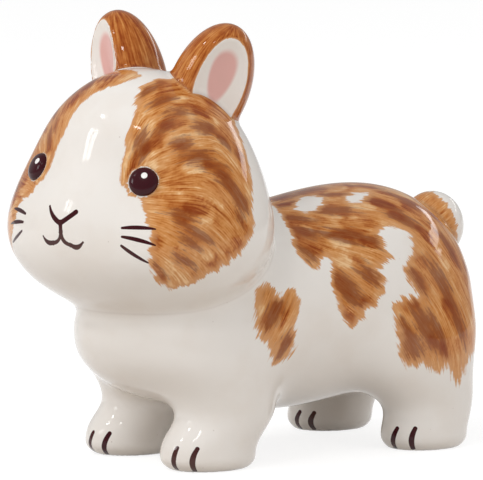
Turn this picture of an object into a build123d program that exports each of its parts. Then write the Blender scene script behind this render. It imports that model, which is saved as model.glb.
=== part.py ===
from build123d import *
import math
import os

# Glazed ceramic rabbit, slip-cast and hand-luted from separate pieces, standing on four paws.
# Millimetres, +Z up. It looks along -Y, its left side is +X. The origin is under the middle
# of its outer box, on the surface that it stands on.

# Trunk: nose-to-tail egg, its cross-sections stand along Y
trunk_length = 138.5
trunk_half_width = 34.5
trunk_middle_y = 0.8
back_height = 87.0
belly_height = 13.0
# (angle from chest to rump, half-width share, back share, belly share)
trunk_shares = [
    (16, 1.36, 0.865, 0.22),
    (38, 1.24, 0.84, 0.60),
    (62, 1.065, 0.852, 0.99),
    (90, 0.97, 0.90, 1.00),
    (118, 1.08, 0.986, 0.98),
    (143, 1.20, 1.07, 0.52),
    (164, 1.31, 1.115, 0.23),
]

# Head: wide cheeks under a narrow crown, turned a little to its left
head_height = 76.5
crown_above_pivot = 48.5
cheek_half_width = 49.5
face_depth = 39.8
nape_depth = 42.0
neck_behind_chest = 17.95
neck_height_share = 0.85
head_turn = 14.5
head_tilt = 2.0
# (angle from crown to chin, half-width share, face share, nape share)
head_shares = [
    (14, 0.71, 0.80, 0.81),
    (34, 0.71, 0.79, 0.84),
    (54, 0.735, 0.75, 0.86),
    (74, 0.79, 0.69, 0.845),
    (92, 0.86, 0.81, 0.875),
    (108, 0.94, 0.94, 0.94),
    (126, 1.01, 1.03, 1.00),
    (146, 1.06, 1.04, 1.05),
    (166, 1.08, 1.05, 1.08),
]
muzzle_reach = 3.6
muzzle_half_width = 14.0
muzzle_half_height = 14.0
muzzle_above_pivot = 14.0
head_ring_points = 28

# Ears: thick egg-shaped petals with a scooped face
ear_half_width = 12.6
ear_half_depth = 11.4
ear_half_length = 22.0
ear_tip_x = 24.6
ear_tip_behind_pivot = 13.6
ear_tip_above_pivot = 63.2
ear_splay = 23.0
ear_lean_back = 3.5
ear_turn = {"left": 58.0, "right": 20.0}
scoop_half_width = 9.6
scoop_half_depth = 5.0
scoop_half_length = 24.0
scoop_depth = 4.0
scoop_lift = -1.0
scoop_slope = 14.0

# Eyes: low glossy domes seated on the face
eye_radius = 4.6
eye_rise = 2.2
eye_x_share = 0.4283
eye_above_pivot = 17.8

# Forelegs: short stubs with a rounded paw that stands forward of the ankle
foreleg_height = 54.0
foreleg_x = 20.2
foreleg_behind_chest = 29.45
foreleg_half_width = 12.6
foreleg_half_length = 15.8
# (height share, outward shift share, rearward shift share, half-width share, half-length share)
foreleg_shares = [
    (0.00, 0.00, 0.03, 0.82, 0.82),
    (0.03, 0.00, 0.01, 0.94, 0.94),
    (0.09, 0.00, 0.00, 1.00, 1.00),
    (0.17, 0.00, 0.11, 1.00, 1.02),
    (0.28, 0.01, 0.38, 1.02, 1.00),
    (0.37, 0.02, 0.41, 1.04, 1.01),
    (0.47, 0.02, 0.34, 1.07, 1.07),
    (0.60, 0.00, 0.22, 1.07, 1.16),
    (0.74, -0.05, 0.14, 0.98, 1.06),
    (0.88, -0.15, 0.14, 0.74, 0.80),
]

# Hind legs: a full haunch over a rounded paw
hindleg_height = 62.0
hindleg_x = 24.8
hindleg_before_rump = 29.05
hindleg_half_width = 12.0
hindleg_half_length = 14.4
hindleg_shares = [
    (0.00, 0.00, 0.00, 0.82, 0.83),
    (0.026, 0.00, 0.00, 0.94, 0.94),
    (0.08, 0.00, 0.00, 1.00, 1.00),
    (0.15, -0.02, 0.06, 1.01, 1.08),
    (0.23, -0.05, 0.03, 1.06, 1.19),
    (0.33, -0.10, -0.16, 1.14, 1.39),
    (0.46, -0.15, -0.31, 1.20, 1.59),
    (0.61, -0.20, -0.36, 1.18, 1.60),
    (0.77, -0.32, -0.42, 1.00, 1.36),
    (0.90, -0.45, -0.46, 0.66, 0.92),
]

# Tail: a round bob on the rump
tail_radius = 9.6
tail_half_height = 10.2
tail_seat = 7.05
tail_height_share = 0.7586

# Casting: hollow walls, a passage through the neck and a vent under the belly
cast_wall = 4.0
neck_passage_radius = 9.0
vent_radius = 3.0
vent_y = 4.0

PIECE_SIDES = {"left": 1, "right": -1}

# Places that follow the trunk and the cheeks
chest_y = trunk_middle_y - trunk_length / 2
rump_y = trunk_middle_y + trunk_length / 2
neck_pivot_y = chest_y + neck_behind_chest
neck_pivot_z = back_height * neck_height_share
eye_x = cheek_half_width * eye_x_share
foreleg_y = chest_y + foreleg_behind_chest
hindleg_y = rump_y - hindleg_before_rump
tail_y = rump_y - tail_seat
tail_z = back_height * tail_height_share


def ellipse_face(plane, half_x, half_y):
    """Flat elliptical section on a plane; the longer axis leads."""
    return plane * make_face(Ellipse(half_x, half_y).edges())


def trunk_solid(inset):
    """Egg of the trunk, drawn in by the inset all round."""
    half_length = trunk_length / 2 - inset
    sections = [Vertex(0, trunk_middle_y - half_length, trunk_end_height(0))]
    for angle, width_share, back_share, belly_share in trunk_shares:
        swell = math.sin(math.radians(angle))
        along = math.cos(math.radians(angle))
        top = back_share * back_height - inset
        bottom = belly_share * belly_height + inset
        half_width = (width_share * trunk_half_width - inset) * swell
        half_height = (top - bottom) / 2 * swell
        centre = (0, trunk_middle_y - half_length * along, (top + bottom) / 2)
        plane = Plane(origin=centre, x_dir=(1, 0, 0), z_dir=(0, 1, 0))
        sections.append(ellipse_face(plane, half_width, half_height))
    sections.append(Vertex(0, trunk_middle_y + half_length, trunk_end_height(-1)))
    return loft(sections)


def trunk_end_height(station):
    """Height of the trunk's end point beside its first or last section."""
    _, _, back_share, belly_share = trunk_shares[station]
    return (back_share * back_height + belly_share * belly_height) / 2


def head_place():
    """Frame of the head: its pivot in the neck, turned and tilted."""
    pivot = Pos(0, neck_pivot_y, neck_pivot_z)
    return pivot * Rot(0, 0, head_turn) * Rot(0, head_tilt, 0)


def face_swell(x, z):
    """How far the muzzle stands out at a place on the face."""
    across = (x / muzzle_half_width) ** 2
    up = ((z - muzzle_above_pivot) / muzzle_half_height) ** 2
    return muzzle_reach * math.exp(-across - up)


def head_ring(angle, width_share, face_share, nape_share, inset):
    """Closed cross-section of the head at one angle from crown to chin."""
    half_height = head_height / 2 - inset
    middle = crown_above_pivot - head_height / 2
    swell = math.sin(math.radians(angle))
    z = middle + half_height * math.cos(math.radians(angle))
    half_width = (width_share * cheek_half_width - inset) * swell
    face = (face_share * face_depth - inset) * swell
    nape = (nape_share * nape_depth - inset) * swell
    points = []
    for step in range(head_ring_points):
        turn = 2 * math.pi * step / head_ring_points
        x = half_width * math.sin(turn)
        forward = math.cos(turn)
        y = -face * forward if forward > 0 else -nape * forward
        if forward > 0:
            y -= face_swell(x, z) * forward
        points.append((x, y, z))
    return make_face(Spline(points, periodic=True))


def head_solid(inset):
    """Head from crown to chin, drawn in by the inset all round."""
    top = crown_above_pivot - inset
    bottom = crown_above_pivot - head_height + inset
    sections = [Vertex(0, 0, top)]
    sections += [head_ring(*station, inset) for station in head_shares]
    sections.append(Vertex(0, 0, bottom))
    return loft(sections)


def leg_solid(side, height, place_x, place_y, half_width, half_length, shares):
    """Leg from its flat sole to a dome that ends inside the trunk."""
    sections = []
    for rise, outward, rearward, width_share, length_share in shares:
        centre = (
            side * (place_x + outward * half_width),
            place_y + rearward * half_length,
            rise * height,
        )
        plane = Plane(origin=centre, x_dir=(1, 0, 0), z_dir=(0, 0, 1))
        sections.append(ellipse_face(plane, width_share * half_width, length_share * half_length))
    _, outward, rearward, _, _ = shares[-1]
    top_x = side * (place_x + outward * half_width)
    sections.append(Vertex(top_x, place_y + rearward * half_length, height))
    return loft(sections)


def egg(half_x, half_y, half_z):
    """Unit ball stretched to three half sizes about its middle."""
    return scale(Sphere(1), by=(half_x, half_y, half_z))


def ear_plane(side_name):
    """Plane through an ear's middle: X across it, Y out of its back, Z to its tip."""
    side = PIECE_SIDES[side_name]
    splay = math.tan(math.radians(ear_splay))
    lean = math.tan(math.radians(ear_lean_back))
    upward = Vector(side * splay, lean, 1).normalized()
    turn = math.radians(ear_turn[side_name])
    facing = Vector(side * math.sin(turn), -math.cos(turn), 0)
    across = upward.cross(facing).normalized()
    tip = Vector(side * ear_tip_x, ear_tip_behind_pivot, ear_tip_above_pivot)
    return Plane(origin=tip - upward * ear_half_length, x_dir=across, z_dir=upward)


def ear_solid(side_name, head):
    """Ear with its scooped face, cut where it sits on the head."""
    plane = ear_plane(side_name)
    petal = egg(ear_half_width, ear_half_depth, ear_half_length)
    scoop = egg(scoop_half_width, scoop_half_depth, scoop_half_length)
    scoop_out = ear_half_depth - scoop_depth + scoop_half_depth
    petal -= Pos(0, -scoop_out, scoop_lift) * Rot(-scoop_slope, 0, 0) * scoop
    return head_place() * plane.location * petal - head


def eye_solid(side_name, head):
    """Low dome on the face, backed by the head's own surface."""
    place = head_place()
    start = place * Pos(PIECE_SIDES[side_name] * eye_x, -2 * face_depth, eye_above_pivot)
    aim = place * Pos(PIECE_SIDES[side_name] * eye_x, 0, eye_above_pivot)
    sight = Axis(start.position, aim.position - start.position)
    surface_point, normal = head.find_intersection_points(sight)[0]
    ball_radius = (eye_radius ** 2 + eye_rise ** 2) / (2 * eye_rise)
    centre = surface_point - normal * (ball_radius - eye_rise)
    return Pos(*centre) * Sphere(ball_radius) - head


def build_pieces():
    """Every luted piece by name, in the rabbit's own frame."""
    head = head_place() * head_solid(0)
    trunk = trunk_solid(0)
    pieces = {}
    neck = Pos(0, neck_pivot_y, neck_pivot_z) * Cylinder(
        neck_passage_radius, head_height, align=(Align.CENTER, Align.CENTER, Align.MAX)
    )
    vent = Pos(0, vent_y, 0) * Cylinder(
        vent_radius, back_height / 2, align=(Align.CENTER, Align.CENTER, Align.MIN)
    )
    pieces["trunk"] = trunk - trunk_solid(cast_wall) - head - vent
    pieces["head"] = head - head_place() * head_solid(cast_wall) - neck
    for side_name, side in PIECE_SIDES.items():
        pieces[side_name + "_ear"] = ear_solid(side_name, head)
        pieces[side_name + "_eye"] = eye_solid(side_name, head)
        foreleg = leg_solid(
            side, foreleg_height, foreleg_x, foreleg_y,
            foreleg_half_width, foreleg_half_length, foreleg_shares,
        )
        hindleg = leg_solid(
            side, hindleg_height, hindleg_x, hindleg_y,
            hindleg_half_width, hindleg_half_length, hindleg_shares,
        )
        pieces[side_name + "_foreleg"] = foreleg - trunk
        pieces[side_name + "_hindleg"] = hindleg - trunk
    tail = Pos(0, tail_y, tail_z) * egg(tail_radius, tail_radius, tail_half_height)
    pieces["tail"] = tail - trunk
    return pieces


def write_pieces():
    """Centre the outer box over the origin and write one file per piece."""
    pieces = build_pieces()
    box = Compound([solid for piece in pieces.values() for solid in piece.solids()]).bounding_box()
    to_origin = Pos(-box.center().X, -box.center().Y, -box.min.Z)
    os.makedirs("parts", exist_ok=True)
    for name, piece in pieces.items():
        placed = to_origin * piece
        export_step(placed, "parts/" + name + ".step")
        print(name, len(placed.solids()), round(placed.volume), placed.bounding_box())
    print("moved by", to_origin.position)


write_pieces()
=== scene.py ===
import math
import bpy
import numpy as np
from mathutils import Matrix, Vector


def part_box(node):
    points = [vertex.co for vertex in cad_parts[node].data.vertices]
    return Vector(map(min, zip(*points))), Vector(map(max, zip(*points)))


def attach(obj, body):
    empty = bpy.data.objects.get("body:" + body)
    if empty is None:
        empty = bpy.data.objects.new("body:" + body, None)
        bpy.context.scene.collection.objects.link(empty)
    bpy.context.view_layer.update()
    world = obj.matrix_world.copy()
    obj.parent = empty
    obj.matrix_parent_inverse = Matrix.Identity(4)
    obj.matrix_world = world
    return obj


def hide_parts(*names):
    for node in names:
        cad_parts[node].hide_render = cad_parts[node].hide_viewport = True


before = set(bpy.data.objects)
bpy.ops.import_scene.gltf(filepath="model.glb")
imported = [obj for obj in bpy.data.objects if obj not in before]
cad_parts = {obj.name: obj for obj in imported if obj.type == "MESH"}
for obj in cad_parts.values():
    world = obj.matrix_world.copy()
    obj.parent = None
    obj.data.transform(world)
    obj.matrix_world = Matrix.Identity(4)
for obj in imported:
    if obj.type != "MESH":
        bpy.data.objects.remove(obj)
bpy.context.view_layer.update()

# Trunk
# Egg of white earthenware, slip-cast hollow in a two-part mould. Iron-brown underglaze is
# brushed on it in short strokes that follow the lie of the fur, then a clear glaze covers all.

# Sizes are in millimetres and angles in degrees; the rabbit faces -Y and stands at Z 0
MM = 0.001
trunk_length = 138.5
trunk_half_width = 34.5
trunk_middle_y = 0.8
back_height = 87.0
belly_height = 13.0
# (angle from chest to rump, half-width share, back share, belly share)
trunk_shares = [
    (0, 1.30, 0.865, 0.50),
    (16, 1.30, 0.865, 0.50),
    (38, 1.20, 0.84, 0.75),
    (62, 1.065, 0.852, 0.99),
    (90, 0.97, 0.90, 1.00),
    (118, 1.08, 0.986, 0.98),
    (143, 1.20, 1.035, 0.52),
    (164, 1.31, 1.04, 0.23),
    (180, 1.31, 1.02, 0.23),
]


def smooth_columns(rows):
    """One smooth curve per column of a table, over the table's first column."""
    table = np.array(rows, float)
    places, gaps = table[:, 0], np.diff(table[:, 0])
    matrix = np.eye(len(places))
    for i in range(1, len(places) - 1):
        matrix[i, i - 1:i + 2] = gaps[i - 1], 2 * (gaps[i - 1] + gaps[i]), gaps[i]
    curves = []
    for values in table[:, 1:].T:
        slopes = np.diff(values) / gaps
        right = np.zeros(len(places))
        right[1:-1] = 6 * np.diff(slopes)
        curves.append((values, np.linalg.solve(matrix, right)))

    def read(at):
        at = np.clip(at, places[0], places[-1])
        i = np.clip(np.searchsorted(places, at) - 1, 0, len(gaps) - 1)
        done, left, gap = at - places[i], places[i + 1] - at, gaps[i]
        return [
            (bend[i] * left ** 3 + bend[i + 1] * done ** 3) / (6 * gap)
            + (values[i] / gap - bend[i] * gap / 6) * left
            + (values[i + 1] / gap - bend[i + 1] * gap / 6) * done
            for values, bend in curves
        ]

    return read


trunk_profile = smooth_columns(trunk_shares)
# Keeps a form's slope near 1 where it swells
trunk_ease = 0.95


def trunk_form(p):
    """Distance, in millimetres, from the outside of the trunk; less than nothing is clay."""
    half = trunk_length / 2
    along = np.clip((trunk_middle_y - p[:, 1]) / half, -1, 1)
    width, back, belly = trunk_profile(np.degrees(np.arccos(along)))
    width = width * trunk_half_width
    back, belly = back * back_height, belly * belly_height
    middle, tall = (back + belly) / 2, (back - belly) / 2
    across, up = p[:, 0] / width, (p[:, 2] - middle) / tall
    reach = np.sqrt(across ** 2 + up ** 2 + ((p[:, 1] - trunk_middle_y) / half) ** 2)
    return (reach - 1) * np.minimum(width, tall) * trunk_ease


def slope_of(form, p):
    """Direction in which a form grows, and how fast."""
    reach = 0.05
    steps = np.eye(3) * reach
    return np.stack([form(p + s) - form(p - s) for s in steps], -1) / (2 * reach)


SIDES = {"left": 1, "right": -1}
# Round a flank or cheek as seen from its own side: (rearward, upward) in degrees
trunk_coat = {
    "seed": 3,
    "middle": np.array([0.0, 0.8, 46.0]),
    "reach": 37.0,
    # (rearward, upward, slope of the fur above rearward)
    "fur": [
        (-6, 63, -31), (-9, 48, -35), (-14, 33, -57), (24, 59, -20), (16, 41, -19), (30, 47, -17),
        (44, 45, -23), (47, 38, -35), (24, 27, -26), (11, 14, -40), (15, 5, -37), (42, 12, -59),
        (33, -5, -59), (38, -12, -54), (52, 7, -60), (49, -12, -69), (48, -23, -88),
        (51, 24, -52), (-41, 4, 55), (-30, 4, 58), (-33, -15, 52), (0, 90, 0), (60, 60, -30),
        (88, 0, -90), (75, 30, -80),
    ],
    "patches": {
        "left": [
            [
                (-6, 92), (-10, 84), (-13, 69), (-17, 57), (-17, 50), (-19, 42), (-18, 34), (-13, 26),
                (-8, 24), (-6, 30), (0, 32), (2, 27), (-1, 22), (-3, 15), (-1, 10), (0, 3), (3, -3),
                (9, -8), (12, -6), (16, -4), (17, 1), (23, 1), (25, 6), (29, 10), (28, 17), (26, 20),
                (32, 21), (34, 24), (33, 31), (34, 37), (40, 38), (45, 33), (45, 27), (44, 23),
                (41, 21), (38, 17), (38, 12), (39, 8), (40, 5), (32, 5), (30, 0), (30, -7), (31, -20),
                (34, -25), (38, -22), (42, -25), (45, -21), (48, -27), (51, -24), (54, -20),
                (60, -18), (68, -12), (80, 0), (92, 15), (95, 45), (80, 75), (50, 95), (20, 97),
            ],
            [
                (-38, 18), (-34, 15), (-33, 11), (-30, 15), (-26, 15), (-23, 10), (-24, 2), (-26, -6),
                (-25, -13), (-27, -19), (-32, -21), (-36, -19), (-37, -12), (-41, -7), (-44, 0),
                (-44, 7), (-43, 14),
            ],
        ],
        "right": [
            [
                (-2, 92), (-8, 80), (-12, 66), (-10, 54), (-14, 46), (-8, 38), (-2, 42), (4, 36),
                (8, 30), (6, 22), (12, 14), (10, 6), (16, -2), (22, 2), (24, 10), (30, 16), (30, 28),
                (36, 38), (42, 42), (46, 36), (48, 26), (44, 16), (38, 10), (34, 0), (36, -10),
                (32, -18), (38, -26), (44, -22), (50, -28), (55, -18), (66, -12), (80, 0), (92, 15),
                (95, 45), (80, 75), (50, 95), (20, 97),
            ],
            [
                (-32, 30), (-26, 32), (-20, 27), (-18, 18), (-22, 12), (-20, 4), (-26, -2), (-33, 2),
                (-36, 12), (-34, 20),
            ],
        ],
    },
    "bare": {
        "left": [
            [(-1, 70), (4, 73), (10, 78), (18, 79), (24, 75), (26, 70), (19, 66), (11, 64), (4, 64)],
            [(33, 60), (37, 63), (43, 62), (48, 58), (44, 56), (38, 56)],
        ],
        "right": [[(14, 60), (20, 66), (28, 62), (26, 54), (18, 52)]],
    },
    # (rearward, upward, half length, half width), the last two in millimetres
    "dabs": [
        (-7, 62, 6.0, 2.0), (-7, 49, 4.6, 2.6), (-2, 78, 6.5, 1.8), (22, 58, 7.5, 2.4),
        (17, 41, 9.0, 2.6), (-12, 34, 5.0, 2.2), (47, 48, 7.0, 2.2), (48, 38, 7.5, 2.6),
        (7, 15, 7.5, 2.6), (9, 9, 6.5, 2.4), (23, 17, 6.5, 2.6), (31, 33, 5.0, 2.0),
        (42, 11, 6.5, 3.0), (52, 10, 9.0, 2.6), (54, 2, 7.5, 2.8), (37, -12, 7.5, 3.2),
        (44, -7, 9.0, 3.2), (34, -17, 5.6, 2.4), (36, 67, 9.0, 1.8), (48, -9, 7.5, 2.6),
        (-36, 3, 7.5, 3.0), (-31, -12, 5.6, 2.4), (53, 63, 9.0, 1.8), (57, -7, 8.0, 2.2),
        (10, 86, 8.0, 2.4), (30, 84, 8.0, 2.4), (58, 45, 8.0, 2.4), (62, 20, 8.0, 2.6),
    ],
}


# Reach, in degrees, over which one guide slope of the fur gives way to the next, and how sharply
guide_blur = 4.0
guide_pull = 1.5
# Least and most depth under the coat that a stroke's middle is looked for at
stroke_near, stroke_far = 5.0, 80.0
stroke_thickness = 12.0
# Depth of a place that no stroke covers
nowhere = -10.0
# Washes shade the coat: the field they are thrown over, how many to a side, and their sizes
wash_low, wash_high = np.array([-60, -38]), np.array([70, 96])
wash_count = 420
wash_half_lengths = (3.6, 6.2)
wash_half_widths = (1.9, 3.0)
wash_shades = (-0.42, 0.34)
wash_edge = 0.8
wash_fade = 0.12


def side_places(q, side):
    """(rearward, upward) degrees of points round a form, seen from its left or right."""
    away = np.degrees(np.arccos(np.clip(side * q[:, 0] / np.linalg.norm(q, axis=1), -1, 1)))
    return q[:, 1:] * (away / np.maximum(np.hypot(q[:, 1], q[:, 2]), 1e-6))[:, None]


def inside_outline(places, outline):
    """Distance inside a closed outline, in the outline's own units; negative outside."""
    corners = np.array(outline, float)
    nearest = np.full(len(places), np.inf)
    within = np.zeros(len(places), bool)
    for a, b in zip(corners, np.roll(corners, -1, axis=0)):
        along = np.clip(((places - a) @ (b - a)) / ((b - a) @ (b - a)), 0, 1)
        nearest = np.minimum(nearest, np.linalg.norm(places - a - along[:, None] * (b - a), axis=1))
        crosses = (a[1] > places[:, 1]) != (b[1] > places[:, 1])
        rise = b[1] - a[1] if b[1] != a[1] else 1.0
        within ^= crosses & (places[:, 0] < (b[0] - a[0]) * (places[:, 1] - a[1]) / rise + a[0])
    return np.where(within, nearest, -nearest)


def laid_along(normals, direction):
    """A direction laid down on the surface at each point."""
    lain = direction - normals * (normals * direction).sum(-1, keepdims=True)
    return lain / np.maximum(np.linalg.norm(lain, axis=-1, keepdims=True), 1e-6)


def fur_ways(places, normals, side, rearward, guides):
    """Unit vector along the fur at each point, read from the guide slopes nearest to it."""
    guides = np.array(guides, float)
    apart = ((places[:, None] - guides[None, :, :2]) ** 2).sum(-1)
    weights = (apart + guide_blur ** 2) ** -guide_pull
    slopes = np.radians(guides[:, 2])
    back = laid_along(normals, rearward)
    up = side * np.cross(normals, back)
    way = (weights @ np.cos(slopes))[:, None] * back + (weights @ np.sin(slopes))[:, None] * up
    return way / np.linalg.norm(way, axis=1, keepdims=True)


def stroke_seat(place, side, coat, axes, middle, form):
    """A brush stroke's middle on a form, and the directions along, across and out of it."""
    away = math.hypot(*place)
    flat = math.sin(math.radians(away)) / max(away, 1e-6)
    sight = (side * math.cos(math.radians(away)), place[0] * flat, place[1] * flat)
    ray = np.array([sight]) @ axes
    near, far = stroke_near, stroke_far
    for _ in range(16):
        half = (near + far) / 2
        near, far = (half, far) if form(middle + ray * half)[0] < 0 else (near, half)
    seat = middle + ray * near
    out = slope_of(form, seat)
    out /= np.linalg.norm(out)
    way = fur_ways(np.array([place], float), out, side, axes[1], coat["fur"])[0]
    return seat[0], way, np.cross(out[0], way), out[0]


def stroke_depth(points, seat, half_length, half_width):
    """Depth of points inside one brush stroke, and their share of the way along it."""
    middle, way, across, out = seat
    off = points - middle
    along = off @ way / half_length
    depth = (1 - np.hypot(off @ across / half_width, along)) * half_width
    return np.where(np.abs(off @ out) < stroke_thickness, depth, nowhere), along


def brushed_coat(points, normals, coat, axes, origin, form):
    """Fur direction at points, and their depth in the coat and in its darker dabs, and tone."""
    middle = origin + coat["middle"] @ axes
    q = (points - middle) @ axes.T
    scale = math.radians(1) * coat["reach"]
    seen = {name: side_places(q, side) for name, side in SIDES.items()}
    side = np.where(q[:, :1] < 0, -1.0, 1.0)
    own = np.where(side < 0, seen["right"], seen["left"])
    ways = fur_ways(own, normals, side, axes[1], coat["fur"])
    depth = np.full(len(points), -np.inf)
    dark = np.full(len(points), nowhere)
    tone = np.zeros(len(points))
    for name in SIDES:
        for outline in coat["patches"][name]:
            depth = np.maximum(depth, inside_outline(seen[name], outline) * scale)
    brush = np.random.default_rng(coat["seed"])
    for name, sign in SIDES.items():
        for outline in coat["bare"].get(name, []):
            depth = np.minimum(depth, -inside_outline(seen[name], outline) * scale)
        for place in wash_low + (wash_high - wash_low) * brush.random((wash_count, 2)):
            half_length, half_width = brush.uniform(*wash_half_lengths), brush.uniform(*wash_half_widths)
            shade = brush.uniform(*wash_shades)
            if max(inside_outline(place[None], outline)[0] for outline in coat["patches"][name]) < 0:
                continue
            seat = stroke_seat(place, sign, coat, axes, middle, form)
            inside, along = stroke_depth(points, seat, half_length, half_width)
            laid = np.clip(inside / wash_edge, 0, 1)
            tone += laid * (shade + wash_fade * along - tone)
        for back, up, half_length, half_width in coat["dabs"]:
            seat = stroke_seat((back, up), sign, coat, axes, middle, form)
            dark = np.maximum(dark, stroke_depth(points, seat, half_length, half_width)[0])
    return ways, np.stack([depth, dark, tone], -1)


def trunk_brush(points, normals):
    """The coat on the trunk, which runs on over the haunches."""
    return brushed_coat(points, normals, trunk_coat, np.eye(3), np.zeros(3), trunk_form)


def put(tree, kind, inputs, **settings):
    """One shader node with its settings made, and its sockets joined or set."""
    node = tree.nodes.new("ShaderNode" + kind)
    for name, value in settings.items():
        setattr(node, name, value)
    for socket, value in inputs.items():
        if isinstance(value, bpy.types.NodeSocket):
            tree.links.new(value, node.inputs[socket])
        else:
            node.inputs[socket].default_value = value
    return node


def reckon(tree, operation, *values):
    """Result of one sum on numbers."""
    return put(tree, "Math", dict(enumerate(values)), operation=operation).outputs[0]


def reckon_place(tree, operation, *values):
    """Result of one sum on places."""
    node = put(tree, "VectorMath", dict(enumerate(values)), operation=operation)
    return node.outputs["Value" if operation in ("DISTANCE", "DOT_PRODUCT") else "Vector"]


def share_between(tree, value, low, high, most=1.0):
    """Smooth share, from none at the low value to the most at the high one."""
    limits = {"Value": value, "From Min": low, "From Max": high, "To Max": most}
    return put(tree, "MapRange", limits, interpolation_type="SMOOTHSTEP").outputs["Result"]


def paint_over(tree, share, under, over):
    """Colour of one paint laid over another."""
    return put(tree, "Mix", {0: share, 6: under, 7: over}, data_type="RGBA").outputs[2]


def chip(code):
    """Colour of a paint chip given as red, green and blue in hexadecimal."""
    shares = [int(code[i:i + 2], 16) / 255 for i in (0, 2, 4)]
    return [c / 12.92 if c <= 0.04045 else ((c + 0.055) / 1.055) ** 2.4 for c in shares] + [1]


def new_group(name, inputs, outputs):
    """Empty shader group, with its input and output nodes."""
    group = bpy.data.node_groups.new(name, "ShaderNodeTree")
    for socket, kind in inputs.items():
        group.interface.new_socket(socket, in_out="INPUT", socket_type="NodeSocket" + kind)
    for socket, kind in outputs.items():
        group.interface.new_socket(socket, in_out="OUTPUT", socket_type="NodeSocket" + kind)
    return group, group.nodes.new("NodeGroupInput").outputs, group.nodes.new("NodeGroupOutput").inputs


def grain(tree, place, scale, detail=0.0):
    """Soft noise over a place in millimetres, from 0 to 1."""
    return put(tree, "TexNoise", {"Vector": place, "Scale": scale, "Detail": detail}).outputs["Fac"]


# Span that the mean of many grains keeps to, which is stretched to a whole
mean_low, mean_high = 0.4, 0.6


def hairs(tree, place, fur, width, length, steps):
    """Grain smeared along the fur into hairs of a width and length, from 0 to 1."""
    total = 0.0
    for step in range(steps):
        along = length * (step / (steps - 1) - 0.5)
        there = reckon_place(tree, "MULTIPLY_ADD", fur, (along,) * 3, place)
        total = reckon(tree, "ADD", total, grain(tree, there, 1 / width))
    limits = {"Value": total, "From Min": mean_low * steps, "From Max": mean_high * steps}
    return put(tree, "MapRange", limits, clamp=False).outputs["Result"]


def sum_about_half(tree, start, parts):
    """A value moved up and down by grains about their middle, each times its own reach."""
    for part, reach in parts:
        start = reckon(tree, "MULTIPLY_ADD", part, reach, reckon(tree, "SUBTRACT", start, reach / 2))
    return start


fur_group, given, result = new_group(
    "brushed_fur",
    {"Place": "Vector", "Fur": "Vector", "Out": "Vector", "Coat Depth": "Float",
     "Dab Depth": "Float", "Raggedness": "Float", "Tone": "Float", "Fineness": "Float"},
    {"Color": "Color", "Mask": "Float"},
)
lock_width, lock_length = 1.7, 9.0
strand_width, strand_length = 0.75, 7.0
middle_tone = 0.56
coat_tones = ["8E3E0A", "B2662A", "CC8848", "D99E64", "EFC694"]
dab_brown, thin_tan = chip("7E3206"), chip("D39A66")
# Depths between which the coat starts, thickens, and turns into a darker dab
coat_edge = (-0.4, 0.5)
coat_thickens = (0.1, 2.6)
dab_edge = (-0.7, 1.2)
dab_strength = 0.78
locks = hairs(fur_group, given["Place"], given["Fur"], lock_width, lock_length, 9)
strands = hairs(fur_group, given["Place"], given["Fur"], strand_width, strand_length, 15)
across = reckon_place(fur_group, "CROSS_PRODUCT", given["Fur"], given["Out"])
marks = {"Vector": given["Place"], "Orientation": across, "Scale": 0.28, "Frequency": 5.0, "Anisotropy": 1.0}
bristles = put(fur_group, "TexGabor", marks, gabor_type="3D").outputs["Value"]
washes = grain(fur_group, given["Place"], 0.12, 1.0)
ragged = sum_about_half(fur_group, 0.0, [(locks, 1.5), (strands, 1.1), (bristles, 1.3)])
depth = reckon(fur_group, "MULTIPLY_ADD", ragged, given["Raggedness"], given["Coat Depth"])
body = share_between(fur_group, depth, *coat_thickens)
tone = reckon(fur_group, "ADD", given["Tone"], middle_tone)
tone = sum_about_half(fur_group, tone, [(washes, 0.4), (locks, 0.25)])
fine = sum_about_half(fur_group, 0.0, [(strands, 0.55), (bristles, 0.5)])
tone = reckon(fur_group, "MULTIPLY_ADD", fine, given["Fineness"], tone)
ramp = put(fur_group, "ValToRGB", {"Fac": tone})
stops = ramp.color_ramp.elements
for share in (0.25, 0.5, 0.75):
    stops.new(share)
for stop, code in zip(stops, coat_tones):
    stop.color = chip(code)
dab = sum_about_half(fur_group, given["Dab Depth"], [(locks, 1.6), (strands, 2.4), (bristles, 1.8)])
dab = share_between(fur_group, dab, *dab_edge, dab_strength)
darkened = paint_over(fur_group, dab, ramp.outputs["Color"], dab_brown)
fur_group.links.new(paint_over(fur_group, body, thin_tan, darkened), result["Color"])
fur_group.links.new(share_between(fur_group, depth, *coat_edge), result["Mask"])

glaze_group, given, result = new_group(
    "clear_glaze",
    {"Place": "Vector", "Color": "Color", "Crease Shade": "Float"},
    {"Color": "Color", "Roughness": "Float", "Height": "Float"},
)
# Tints of the mottled glaze, and of its specks and the painted shade in the creases
cloud_tint, speck_and_shade_tint = chip("C8AE93"), chip("8A6A55")
ripple_height = 0.05
ripple = grain(glaze_group, given["Place"], 0.09, 1.0)
cloud = grain(glaze_group, given["Place"], 0.06, 5.0)
specks = put(glaze_group, "TexVoronoi", {"Vector": given["Place"], "Scale": 0.16}).outputs
chance = put(glaze_group, "SeparateXYZ", {0: specks["Color"]}).outputs[0]
few = share_between(glaze_group, chance, 0.6, 0.7)
speck = share_between(glaze_group, specks["Distance"], 0.05, 0.02, 0.3)
speck = reckon(glaze_group, "MULTIPLY", few, speck)
clouding = share_between(glaze_group, cloud, 0.42, 0.7, 0.1)
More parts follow.
